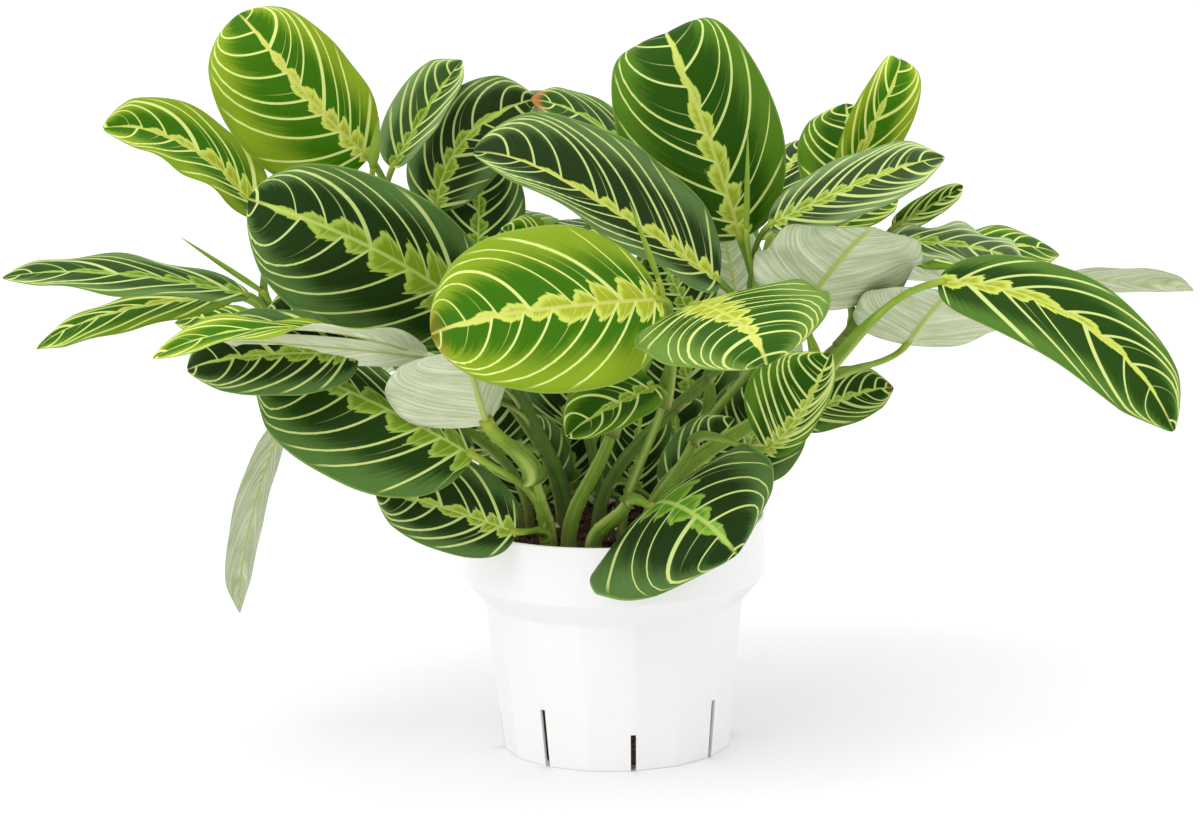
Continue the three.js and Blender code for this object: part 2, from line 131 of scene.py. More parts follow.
class Finish:
    """One material. Its shader's constants are set here, and node() adds any other node."""

    def __init__(self, name, **constants):
        self.material = bpy.data.materials.new(name)
        self.material.use_nodes = True
        self.tree = self.material.node_tree
        self.shader = self.tree.nodes["Principled BSDF"]
        self.set(**constants)

    def put(self, socket, value):
        if isinstance(value, Value):
            self.tree.links.new(value.socket, socket)
        else:
            socket.default_value = value

    def set(self, **values):
        """Sets the shader's sockets: Base_Color stands for Base Color."""
        for name, value in values.items():
            self.put(self.shader.inputs[name.replace("_", " ")], value)

    def node(self, kind, settings=None, inputs=(), output=0):
        """Adds a node from its type, its settings and the values or links of its sockets."""
        node = self.tree.nodes.new(kind)
        for name, value in (settings or {}).items():
            setattr(node, name, value)
        pairs = inputs.items() if isinstance(inputs, dict) else enumerate(inputs)
        for key, value in pairs:
            self.put(node.inputs[key], value)
        return Value(self, node.outputs[output])

    def mix(self, share, first, second):
        """The first colour where the share is 0, the second where it is 1."""
        inputs = {0: share, 6: first, 7: second}
        return self.node("ShaderNodeMix", {"data_type": "RGBA"}, inputs, output=2)

    def place(self):
        return self.node("ShaderNodeTexCoord", output=3)

    def noise(self, scale, detail=2.0, vector=None):
        """Smooth noise between 0 and 1, with so many features to the metre."""
        inputs = {"Vector": vector or self.place(), "Scale": scale, "Detail": detail}
        return self.node("ShaderNodeTexNoise", {}, inputs)

    def streaks(self, across, along):
        """Noise over two numbers of a piece's own: a fast one across its streaks, a slow one along."""
        inputs = {"Vector": self.node("ShaderNodeCombineXYZ", {}, [across, along, 0]),
                  "Scale": 1.0, "Detail": 3.0}
        return self.node("ShaderNodeTexNoise", {"noise_dimensions": "2D"}, inputs)

    def attribute(self, name):
        return self.node("ShaderNodeAttribute", {"attribute_name": name}, output=2)

    def bump(self, height, strength, distance):
        """Turns a height into the shader's normal. The distance is in metres."""
        inputs = {"Height": height, "Strength": strength, "Distance": distance}
        self.set(Normal=self.node("ShaderNodeBump", {}, inputs))


def paint(red, green, blue):
    """The linear colour of screen values between 0 and 255."""
    share = np.array([red, green, blue]) / 255
    linear = np.where(share <= 0.04045, share / 12.92, ((share + 0.055) / 1.055) ** 2.4)
    return (*linear.tolist(), 1.0)


def add_piece(name, points, faces, finishes, replaces=(), face_finish=None, values=None):
    """A finished piece on the root body, from points in millimetres and rows of corner numbers.
    A row of four ends in -1 where the face is a triangle. The values are numbers at each point."""
    faces = np.asarray(faces)
    triangle = faces[:, 3] < 0
    corners = faces[faces >= 0]
    sizes = np.where(triangle, 3, 4)
    mesh = bpy.data.meshes.new(name)
    mesh.vertices.add(len(points))
    mesh.vertices.foreach_set("co", (np.asarray(points) * mm).astype(np.float32).ravel())
    mesh.loops.add(len(corners))
    mesh.loops.foreach_set("vertex_index", corners.astype(np.int32))
    mesh.polygons.add(len(faces))
    mesh.polygons.foreach_set("loop_start", (np.cumsum(sizes) - sizes).astype(np.int32))
    for finish in finishes:
        mesh.materials.append(finish.material)
    if face_finish is not None:
        mesh.polygons.foreach_set("material_index", face_finish.astype(np.int32))
    for key, numbers in (values or {}).items():
        layer = mesh.attributes.new(key, "FLOAT", "POINT")
        spread = np.broadcast_to(numbers, len(points))
        layer.data.foreach_set("value", spread.astype(np.float32))
    mesh.update(calc_edges=True)
    mesh.validate()
    mesh.shade_smooth()
    piece = bpy.data.objects.new(name, mesh)
    bpy.context.scene.collection.objects.link(piece)
    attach(piece, "root")
    if replaces:
        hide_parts(*replaces)
    return piece


def ring_faces(rings, places, first_pole=None, last_pole=None):
    """Quads between rings of points that close round on themselves, with a fan of triangles to a
    pole at either end where its number is given. Points are numbered ring by ring."""
    ring, place = np.meshgrid(np.arange(rings - 1), np.arange(places), indexing="ij")
    after = (place + 1) % places
    low, high = ring * places, (ring + 1) * places
    quads = np.stack([low + place, low + after, high + after, high + place], -1).reshape(-1, 4)
    around = np.arange(places)
    onward = (around + 1) % places
    none = np.full(places, -1)
    fans = []
    if first_pole is not None:
        fans.append(np.stack([onward, around, np.full(places, first_pole), none], -1))
    if last_pole is not None:
        last = (rings - 1) * places
        fans.append(np.stack([last + around, last + onward, np.full(places, last_pole), none], -1))
    return np.concatenate([quads, *fans])


def pot_rows():
    """Radius, height and flatness down the outside of the pot, and down its inside."""
    slope = (neck_radius - foot_radius) / neck_height

    def panel(height):
        return foot_radius + slope * height

    heights = [74.8, 62, 48, 36]
    slit_rows = [long_slit, short_slit, 9]
    outside = [
        [rim_radius - wall + 0.3, pot_height - 0.15, 0],
        [rim_radius - wall / 2, pot_height, 0],
        [rim_radius - 0.2, pot_height - 0.3, 0],
        [rim_radius, pot_height - 1.0, 0],
        [rim_radius, 108, 0],
        [rim_radius, 98, 0],
        [rim_radius, collar_foot + 1.4, 0],
        [rim_radius - 0.2, collar_foot + 0.4, 0],
        [rim_radius - 0.9, collar_foot - 0.6, 0.06],
        [71.0, 82.0, 0.5],
        [neck_radius + 1.1, neck_height + 1.2, 0.9],
        [neck_radius + 0.3, neck_height + 0.1, 0.97],
        *[[panel(height), height, 1] for height in heights],
        *[[panel(height), height, 1] for height in slit_rows],
        [foot_radius, 0.5, 1],
        [foot_radius - 0.5, 0, 1],
        [slit_reach, 0, 1],
        [25, 0, 0.5],
        [2, 0, 0],
    ]
    inside = [
        [rim_radius - wall, pot_height - 0.6, 0],
        [rim_radius - wall, 108, 0],
        [rim_radius - wall, collar_foot, 0],
        [neck_radius - wall, neck_height, 1],
        *[[panel(height) - wall, height, 1] for height in heights[1:]],
        *[[panel(height) - wall, height, 1] for height in slit_rows],
        [panel(4) - wall, 4, 1],
        [panel(4) - wall - 1, pot_floor, 1],
        [slit_reach, pot_floor, 1],
        [25, pot_floor, 0.5],
        [2, pot_floor, 0],
    ]
    return np.array(outside, float), np.array(inside, float)


def make_pot(finish):
    """Points at radius times (1 + flatness times the panel's drop), where the panel's drop is that
    of a regular polygon with its corners cut by a circle. The walls of each slit close the gap
    that is left out of both surfaces."""
    slit_half = math.asin(slit_width / 2 / foot_radius)
    edge = math.pi / panels
    offsets = np.array([-edge, -edge + slit_half / 2, -edge + slit_half, -0.12, -0.06, 0])
    offsets = np.concatenate([offsets, -offsets[1:5][::-1]])
    middles = panel_turn + edge + np.arange(panels) * 2 * edge
    turn = (middles[:, None] + offsets).ravel()
    drop = np.minimum(math.cos(edge) / np.cos(np.tile(offsets, panels)), panel_edge_cut) - 1
    outside, inside = pot_rows()
    places = len(turn)

    def sheet(rows):
        reach = rows[:, :1] * (1 + rows[:, 2:] * drop)
        height = np.broadcast_to(rows[:, 1:2], reach.shape)
        return np.stack([reach * np.sin(turn), -reach * np.cos(turn), height], -1)

    points = np.concatenate([sheet(outside).reshape(-1, 3), sheet(inside).reshape(-1, 3)])
    poles = np.array([[0, 0, 0], [0, 0, pot_floor]])
    shift = len(outside) * places
    total = len(points)
    outer = ring_faces(len(outside), places, last_pole=total)
    inner = ring_faces(len(inside), places, last_pole=total - shift + 1)
    lost_outer, lost_inner, walls = [], [], []
    per_panel = len(offsets)

    def close(out, into, swap):
        """A strip of wall between two rows of points, one on each surface."""
        quad = np.stack([out[:-1], out[1:], into[1:], into[:-1]], -1)
        walls.append(quad[:, ::-1] if swap else quad)

    for slit in range(panels // 2):
        top = short_slit if slit % 2 == 0 else long_slit
        start = slit * 2 * per_panel
        columns = (start + np.arange(-2, 2)) % places
        row_outer = int(np.flatnonzero(outside[:, 1] == top)[0])
        row_inner = int(np.flatnonzero(inside[:, 1] == top)[0])
        count = int(np.flatnonzero(outside[:, 0] == slit_reach)[0]) - row_outer
        rows = np.arange(count)
        lost_outer.append(((row_outer + rows)[:, None] * places + columns).ravel())
        lost_inner.append(((row_inner + rows)[:, None] * places + columns).ravel())
        for place, swap in ((columns[0], False), ((columns[-1] + 1) % places, True)):
            down = np.arange(count + 1) * places + place
            close(row_outer * places + down, shift + row_inner * places + down, swap)
        across = np.append(columns, (columns[-1] + 1) % places)
        for step, swap in ((0, True), (count, False)):
            close((row_outer + step) * places + across, shift + (row_inner + step) * places + across, swap)
    keep_outer = np.setdiff1d(np.arange(len(outer)), np.concatenate(lost_outer))
    keep_inner = np.setdiff1d(np.arange(len(inner)), np.concatenate(lost_inner))
    outer, inner = outer[keep_outer], inner[keep_inner]
    inner = np.where(inner >= 0, inner + shift, -1)
    around = np.arange(places)
    onward = (around + 1) % places
    lip = np.stack([around, onward, shift + onward, shift + around], -1)
    faces = np.concatenate([outer, turned(inner), lip, *walls])
    return add_piece("white_pot", np.concatenate([points, poles]), faces, [finish],
                     ["pot"])


def turned(faces):
    """The same faces looking the other way."""
    quads = faces[:, 3] >= 0
    swapped = faces.copy()
    swapped[quads] = faces[quads][:, ::-1]
    swapped[~quads, :3] = faces[~quads][:, 2::-1]
    return swapped


def upright(piece):
    """Turns every face of a closed piece outwards."""
    bpy.context.view_layer.objects.active = piece
    piece.select_set(True)
    bpy.ops.object.mode_set(mode="EDIT")
    bpy.ops.mesh.select_all(action="SELECT")
    bpy.ops.mesh.normals_make_consistent(inside=False)
    bpy.ops.object.mode_set(mode="OBJECT")
    piece.select_set(False)


def pot_finish():
    """Satin white plastic: faint long waves from the mould, and a very fine grain."""
    finish = Finish("white_plastic", Specular_IOR_Level=0.5, Coat_Weight=0.15, Coat_Roughness=0.12)
    cloud = finish.noise(18)
    shade = finish.mix(cloud, pot_white, pot_shade)
    finish.set(Base_Color=shade, Roughness=0.3 + 0.08 * finish.noise(90))
    finish.bump(finish.noise(1400, 1.0), 0.12, 0.0001)
    return finish


pot = make_pot(pot_finish())
upright(pot)
pot.data.set_sharp_from_angle(angle=sharp_edge)


# Soil
# A plug of loose dark potting mix that fills the pot to a finger's width below the rim, with crumbs
# of bark and a few white grains of perlite lying on it.
soil_top = 109
soil_gap = 0.3
soil_sink = 1.2
crumb_count = 520
crumb_sizes = (0.7, 2.6)
crumb_stretch = (0.55, 1.5)
crumb_lumps = 0.22
crumb_margin = 4.5
perlite_share = 0.05
soil_seed = 11


def swells(points, seed, wavelength, waves=9):
    """Smooth noise of about unit size: the mean of plane sine waves in seeded directions."""
    draw = np.random.default_rng(seed)
    ways = draw.normal(size=(waves, 3))
    ways *= (draw.uniform(0.6, 1.6, waves) / np.linalg.norm(ways, axis=1))[:, None]
    start = draw.uniform(0, 2 * math.pi, waves)
    return np.sin(points @ ways.T * (2 * math.pi / wavelength) + start).sum(-1) / math.sqrt(waves)


def make_soil(finish):
    """Rings of radius times angle: the plug's side follows the inside of the pot, and its top
    rises and falls by two sizes of swell."""
    slope = (neck_radius - foot_radius) / neck_height
    skin = wall + soil_gap
    foot = pot_floor + soil_gap
    places = 144
    side = [
        [2, foot, 0],
        [foot_radius + slope * foot - skin - 1, foot, 1],
        [foot_radius + slope * (foot + 2) - skin, foot + 2, 1],
        [foot_radius + slope * 30 - skin, 30, 1],
        [neck_radius - skin, neck_height, 1],
        [rim_radius - skin, collar_foot, 0],
        [rim_radius - skin, soil_top - 2, 0],
    ]
    top = [[reach, soil_top, 0] for reach in np.linspace(rim_radius - skin - 0.6, 2, 40)]
    rows = np.array(side + top)
    turn = np.linspace(0, 2 * math.pi, places, endpoint=False)
    edge = math.pi / panels
    in_panel = (turn - panel_turn) % (2 * edge) - edge
    drop = np.minimum(math.cos(edge) / np.cos(in_panel), panel_edge_cut) - 1
    reach = rows[:, :1] * (1 + rows[:, 2:] * drop)
    height = np.broadcast_to(rows[:, 1:2], reach.shape).copy()
    points = np.stack([reach * np.sin(turn), -reach * np.cos(turn), height], -1)
    bumps = 1.1 * swells(points, soil_seed, 30) + 0.8 * swells(points, soil_seed + 1, 7)
    points[len(side):, :, 2] += bumps[len(side):] - soil_sink
    poles = np.array([[0, 0, foot], [0, 0, soil_top - soil_sink]])
    count = len(rows) * places
    faces = ring_faces(len(rows), places, count, count + 1)
    return add_piece("potting_mix", np.concatenate([points.reshape(-1, 3), poles]), faces, [finish],
                     ["potting_soil"])


def make_crumbs(finish, perlite):
    """Lumpy twelve-cornered grains, squashed and turned at random, all in one mesh."""
    golden = (1 + math.sqrt(5)) / 2
    corner_reach = 1.9
    corners = np.array([[s, t * golden, 0] for s in (-1, 1) for t in (-1, 1)], float)
    corners = np.concatenate([corners, np.roll(corners, 1, 1), np.roll(corners, 2, 1)]) / corner_reach
    gap = np.linalg.norm(corners[:, None] - corners[None], axis=-1)
    near = np.abs(gap - 2 / corner_reach) < 0.01
    trios = [(i, j, k) for i in range(12) for j in range(i + 1, 12) for k in range(j + 1, 12)
             if near[i, j] and near[j, k] and near[i, k]]
    trios = np.array(trios)
    middle = corners[trios].mean(1)
    across = np.cross(corners[trios[:, 1]] - corners[trios[:, 0]],
                      corners[trios[:, 2]] - corners[trios[:, 0]])
    wrong = (across * middle).sum(1) < 0
    trios[wrong] = trios[wrong][:, ::-1]
    draw = np.random.default_rng(soil_seed + 2)
    size = draw.uniform(*crumb_sizes, crumb_count)
    stretch = draw.uniform(*crumb_stretch, (crumb_count, 1, 3))
    lumps = 1 + draw.uniform(-crumb_lumps, crumb_lumps, (crumb_count, 12, 1))
    spins = np.linalg.qr(draw.normal(size=(crumb_count, 3, 3)))[0]
    spins *= np.sign(np.linalg.det(spins))[:, None, None]
    reach = (rim_radius - wall - crumb_margin) * np.sqrt(draw.uniform(0, 1, crumb_count))
    turn = draw.uniform(0, 2 * math.pi, crumb_count)
    seat = np.stack([reach * np.sin(turn), -reach * np.cos(turn),
                     soil_top - 0.8 + draw.uniform(-0.4, 1.6, crumb_count)], -1)
    shapes = corners * stretch * lumps * size[:, None, None]
    points = shapes @ spins.transpose(0, 2, 1) + seat[:, None]
    faces = (trios[None] + 12 * np.arange(crumb_count)[:, None, None]).reshape(-1, 3)
    faces = np.concatenate([faces, np.full((len(faces), 1), -1)], 1)
    white = draw.uniform(0, 1, crumb_count) < perlite_share
    kind = np.repeat(white.astype(int), len(trios))
    return add_piece("soil_crumbs", points.reshape(-1, 3), faces, [finish, perlite],
                     face_finish=kind)


def soil_finish():
    """Dark peat brown, broken by paler fibres and by pits between the crumbs."""
    finish = Finish("potting_mix", Roughness=0.95, Specular_IOR_Level=0.2)
    grain = finish.noise(420, 5.0)
    fibre = finish.noise(900, 2.0).rise(0.55, 0.75)
    earth = finish.mix(grain.rise(0.3, 0.7), paint(28, 19, 13), paint(74, 54, 38))
    finish.set(Base_Color=finish.mix(fibre * 0.5, earth, paint(112, 84, 58)))
    finish.bump(grain, 0.8, 0.002)
    return finish


def perlite_finish():
    """White puffed grains, dusty with soil."""
    finish = Finish("perlite", Roughness=0.9)
    dust = finish.noise(700, 3.0).rise(0.4, 0.7)
    finish.set(Base_Color=finish.mix(dust, paint(206, 200, 188), paint(120, 100, 80)))
    return finish


soil_look = soil_finish()
make_soil(soil_look)
make_crumbs(soil_look, perlite_finish())


# Stems and leaf stalks
# Each leafy stem rises from the soil and gives off a stalk to each of its leaves. A stalk is wrapped
# in a broad green sheath where it leaves the stem, and ends in a yellow-green joint under its blade.
stem_sides = 14
stem_upright = 3
stem_taper = 0.3
stem_flatness = (1.12, 0.9)
node_places = (0.35, 0.72)
node_swell = 0.12
hole_depth = 16
curve_handle = 0.35
stalk_radius = 1.5
joint_radius = 1.75
joint_length = 9
stalk_past_base = 4
sheath_end = 0.55
sheath_width = 2.6
sheath_depth = 0.9

Stem = namedtuple("Stem", "foot end radius pale")
Spike = namedtuple("Spike", "stem place base tip width")
Blade = namedtuple(
    "Blade", "stem place base tip face widths bend curl young glow fold cup twist sweep",
    defaults=(6, -14, 0, 0),
)

# Stems: foot in the soil, end, radius, and how pale the stem is.
stems = {number: Stem(*row) for number, row in {
    1: ((-10, -47), (7, -50, 134), 4.2, 0.75),
    2: ((4, -37), (26, -52, 186), 3.0, 0.75),
    3: ((-8, -22), (70, -16, 214), 3.4, 0.15),
    4: ((18, -26), (106, -38, 196), 4.0, 0.85),
    5: ((14, -44), (40, -50, 164), 3.2, 0.6),
    6: ((30, 14), (106, 40, 226), 2.8, 0.5),
    7: ((44, 6), (128, 22, 212), 2.8, 0.6),
    8: ((-6, 16), (-30, 34, 222), 2.8, 0.2),
    9: ((-26, 14), (-98, 22, 236), 2.8, 0.5),
    10: ((-42, 4), (-166, 0, 218), 2.8, 0.6),
    11: ((-22, -8), (-54, -22, 206), 4.0, 0.05),
    12: ((-32, -40), (-38, -60, 150), 4.2, 0.85),
    13: ((-46, -14), (-120, 10, 176), 2.4, 0.5),
    14: ((-26, 38), (-66, 74, 190), 2.8, 0.4),
    15: ((4, 46), (8, 80, 200), 2.8, 0.3),
    16: ((30, 40), (74, 70, 190), 2.8, 0.6),
    17: ((-22, -44), (0, -46, 168), 3.6, 0.65),
}.items()}

# Blades: stem, place along the stem, base, tip, side that the upper face looks to, widths of the two
# halves, arch over the length and further curl at the tip in degrees, how young and lime green the
# blade is and how yellow its middle. Blades that aren't shaped like most go on with the rise of
# each half, its further rise towards the margin, the twist and the sideways sweep, in degrees.
blades = {name: Blade(*row) for name, row in {
    "a": (9, 1, (-117, 10, 299), (-178, 0, 372), (0.1, -1, 0.35), (41, 28), 20, 60, 0.85, 1, 6, -14, 0, 20),
    "b": (10, 1, (-169, -20, 274), (-242, -40, 322), (0.15, -0.6, 0.8), (26, 21),
          25, 20, 0.8, 0.9, 22, -8, 0, -55),
    "c": (11, 0.95, (-63, -36, 225), (-171, -60, 289), (0, -1, 0.2), (46, 33),
          20, 50, 0.08, 0.45, 6, -14, 0, -22),
    "d": (17, 1, (25, -84, 240), (-82, -141, 235), (0, -0.95, 0.4), (41, 41), 20, 60, 0.85, 0.95, 4),
    "e": (3, 0.95, (54, -26, 239), (-63, -60, 309), (-0.1, -0.65, 0.8), (30, 36),
          20, 40, 0.05, 0.85, 24, -8, 0, 10),
    "f": (3, 1, (66, 0, 256), (32, 0, 356), (0, -1, 0.15), (42, 36), 15, 140, 0.4, 0.75, 6, -14, 0, -8),
    "fa": (3, 0.6, (65, 32, 220), (58, 38, 259), (0, 1, 0.2), (17, 17), 10, 10, 0.3, 0.4, 6, -10),
    "fb": (3, 0.75, (42, 4, 214), (24, 8, 252), (0, -1, 0.2), (21, 21), 15, 20, 0.15, 0.3),
    "g": (9, 0.9, (-107, 30, 291), (-71, 50, 342), (-0.35, -0.9, 0.2), (17, 14), 15, 10, 0.35, 0.3, 28, 0),
    "h": (9, 0.8, (-86, 50, 266), (-34, 40, 323), (0.1, -1, 0.3), (23, 24),
          20, 20, 0.05, 0.5, 6, -14, 0, 75),
    "i": (8, 1, (38, 32, 270), (-36, 0, 327), (-0.1, -0.45, 0.9), (27, 27), 30, 20, 0.35, 0.3),
    "j": (8, 0.9, (-3, 60, 289), (-52, 40, 319), (0, 1, 0.3), (20, 20), 20, 20, 0.3, 0.4, 6, -10),
    "k": (8, 0.8, (-66, 50, 236), (-64, 70, 292), (0, -1, 0.2), (24, 24), 15, 20, 0, 0.2),
    "l": (8, 0.6, (-23, -10, 242), (-52, -20, 266), (-0.2, -0.8, 0.6), (17, 17), 15, 20, 0.7, 0.6),
    "n": (6, 0.9, (128, 60, 260), (124, 85, 312), (0, -1, 0.3), (28, 28), 15, 20, 0.55, 0.4),
    "o": (6, 1, (120, 30, 272), (146, 22, 341), (0.2, -0.9, 0.3), (13, 18), 15, 120, 1, 0.9, 6, -14, 0, 14),
    "p": (3, 0.9, (79, -27, 266), (164, -40, 299), (-0.1, -0.75, 0.65), (18, 18), 20, 20, 0.15, 0.5),
    "q": (7, 0.9, (110, 0, 258), (145, 10, 272), (0, -0.6, 0.8), (10, 10), 15, 20, 0.7, 0.5),
    "r": (7, 0.97, (143, 20, 257), (178, 20, 277), (0.3, -0.9, 0.2), (8, 7), 15, 30, 0.35, 0.4, 30, 0),
    "t1": (7, 0.85, (155, 60, 234), (233, 80, 232), (0, -0.4, 0.9), (20, 20), 25, 20, 0.65, 0.7),
    "t2": (7, 0.95, (137, 4, 252), (206, -12, 240), (0, -0.35, 0.9), (21, 21), 25, 20, 0.2, 0.3),
    "t3": (7, 0.8, (215, 60, 220), (304, 90, 210), (0, 0.5, 0.85), (17, 17), 15, 10, 0.1, 0.4, 6, -10),
    "u": (4, 1, (160, -46, 239), (267, -96, 173), (-0.1, -0.75, 0.65), (21, 27),
          40, 20, 0.25, 0.9, 14, -14, 0, 52),
    "v": (4, 0.9, (97, -4, 221), (128, -63, 269), (0, 0.6, 0.8), (41, 40), 15, 10, 0.4, 0.5, 6, -10),
    "w": (2, 0.95, (41, -90, 238), (72, -150, 219), (0, -0.55, 0.85), (50, 46), 30, 70, 0.6, 1, 4),
    "x": (12, 0.12, (-66, -80, 165), (-172, -72, 212), (0, -0.62, 0.78), (43, 30),
          20, 25, 0.15, 0.3, -18, -6),
    "z": (11, 0.8, (-120, -86, 217), (-198, -114, 216), (0, -0.75, 0.65), (23, 27), 20, 30, 0, 0.4),
    "aa": (11, 1, (-88, -82, 215), (-211, -138, 226), (0, 0, 1), (19, 16.5), 40, 10, 0.95, 0.9, 10, 0, 50),
    "ab": (11, 1, (-82, -84, 214), (-181, -112, 229), (0, 0.95, 0.15), (5, 9), 10, 10, 1, 0.6, 10, 0),
    "bb": (12, 1, (-59, -84, 181), (-66, -124, 225), (-0.5, 0.75, 0.45), (30, 43),
          15, 10, 0.45, 0.5, 28, 0),
    "dd": (12, 0.02, (-47, -62, 123), (-114, -72, 147), (0, -0.9, 0.45), (21, 26), 20, 40, 0.05, 0.5),
    "ee": (13, 1, (-166, 30, 165), (-193, 40, 61), (-0.85, 0.5, 0.1), (14, 19), 20, 10, 0.3, 0.6, 10, 0),
    "ff": (2, 0.97, (22, -64, 194), (-21, -93, 176), (-0.2, -0.8, 0.5), (17, 17), 25, 30, 0.5, 0.4, 20, 0),
    "gg": (1, 1, (19, -64, 134), (58, -116, 122), (-0.26, -0.56, 0.78), (50, 59),
          90, 30, 0.05, 0.1, 4, -20),
    "hh": (5, 1, (75, -50, 158), (107, -60, 208), (-0.2, -0.8, 0.4), (30, 11),
          20, 20, 0.45, 0.6, 15, -10, 0, -40),
    "ii": (7, 0.4, (90, 10, 162), (142, 10, 177), (0, -0.6, 0.8), (21, 17), 20, 20, 0.2, 0.4),
    "ll": (4, 0.85, (150, 26, 196), (169, -27, 231), (0, 0.7, 0.7), (38, 38), 15, 10, 0.4, 0.5, 6, -10),
    "nn": (10, 0.95, (-176, -20, 236), (-294, -40, 250), (0, -0.35, 0.93), (18.5, 18.5), 20, 10, 0.3, 0.2),
    "oo": (10, 0.9, (-186, 10, 231), (-285, 0, 208), (-0.1, -0.5, 0.85), (16, 10), 30, 20, 0.7, 0.8),
    "pp": (10, 0.85, (-171, 30, 211), (-220, 40, 213), (0, -0.4, 0.9), (13, 13), 25, 20, 0.7, 0.6),
    "tt": (11, 0.7, (-109, -10, 208), (-168, -30, 228), (0, -0.8, 0.6), (25, 25), 20, 20, 0.05, 0.4),
    "uu": (11, 0.6, (-82, -16, 192), (-98, -14, 231), (0, -0.8, 0.6), (22, 22), 20, 20, 0.1, 0.4),
    "ca": (15, 0.55, (-22, 50, 150), (-6, 52, 206), (0, -1, 0.2), (29, 29), 15, 20, 0, 0.3),
    "cb": (16, 0.4, (44, 60, 148), (34, 66, 208), (0, -1, 0.2), (28, 28), 15, 20, 0.05, 0.3),
    "da": (15, 0.12, (-20, 58, 113), (-28, 64, 166), (0, -1, 0.2), (26, 26), 15, 20, 0, 0.2),
    "db": (16, 0.12, (36, 46, 113), (32, 60, 168), (0, -1, 0.2), (27, 27), 15, 20, 0, 0.2),
    "dc": (6, 0.3, (62, 26, 128), (84, 30, 180), (0.1, -1, 0.3), (26, 26), 15, 20, 0.05, 0.4),
    "de": (3, 0.2, (30, -2, 122), (62, 6, 164), (0, -1, 0.3), (20, 20), 15, 20, 0.1, 0.3),
    "df": (14, 0.15, (-36, 42, 114), (-52, 44, 162), (-0.1, -1, 0.3), (24, 24), 15, 20, 0.05, 0.4),
    "dg": (8, 0.1, (10, 30, 116), (16, 34, 172), (0, -1, 0.2), (19, 19), 15, 20, 0.05, 0.3),
    "dh": (9, 0.25, (-58, 20, 146), (-71, 24, 181), (0, -1, 0.2), (26, 26), 15, 20, 0, 0.3),
    "ba": (14, 1, (-106, 90, 233), (-186, 130, 246), (-0.2, 0.5, 0.8), (30, 30), 30, 20, 0.3, 0.6),
    "bp": (14, 0.95, (-90, 110, 225), (-130, 190, 215), (0, 0.5, 0.8), (31, 31), 35, 20, 0.1, 0.7),
    "bc": (14, 0.9, (-50, 120, 245), (-70, 210, 235), (0, 0.5, 0.8), (32, 32), 35, 20, 0.6, 0.9),
    "bd": (15, 1, (0, 120, 240), (0, 215, 225), (0, 0.5, 0.8), (33, 33), 35, 20, 0.2, 0.7),
    "be": (15, 0.95, (40, 115, 250), (60, 205, 250), (0, 0.5, 0.8), (30, 30), 35, 20, 0.05, 0.5),
    "bf": (16, 1, (85, 105, 240), (130, 185, 225), (0, 0.5, 0.8), (31, 31), 35, 20, 0.5, 0.9),
    "bg": (16, 0.95, (120, 90, 225), (205, 140, 205), (0.2, 0.5, 0.8), (29, 29), 35, 20, 0.2, 0.6),
    "bh": (14, 0.85, (-60, 90, 270), (-85, 150, 300), (0, 0.2, 0.9), (27, 27), 25, 20, 0.8, 0.9),
    "bi": (15, 0.9, (30, 90, 275), (40, 155, 300), (0, 0.2, 0.9), (27, 27), 25, 20, 0.4, 0.7),
    "bj": (16, 0.9, (80, 80, 262), (120, 130, 290), (0, 0.2, 0.9), (25, 25), 25, 20, 0.15, 0.6),
    "bk": (14, 0.5, (-30, 70, 200), (-50, 140, 165), (0, 0.6, 0.8), (30, 30), 30, 20, 0.1, 0.4),
    "bl": (16, 0.5, (50, 75, 195), (90, 140, 160), (0, 0.6, 0.8), (29, 29), 30, 20, 0.05, 0.5),
    "bm": (14, 0.6, (-100, 60, 190), (-170, 100, 160), (-0.2, 0.5, 0.8), (29, 29), 30, 20, 0.15, 0.6),
}.items()}

# Young leaves that are still rolled into spikes: stem, place along it, base, tip and width.
spikes = [
    Spike(17, 1, (25, -86, 247), (11, -94, 288), 5),
    Spike(3, 1, (68, -28, 261), (69, -40, 313), 5),
    Spike(10, 1, (-168, -10, 234), (-210, -10, 264), 5),
    Spike(9, 1, (-115, 0, 295), (-111, 0, 320), 9),
]


def unit(vectors):
    return vectors / np.linalg.norm(vectors, axis=-1, keepdims=True)


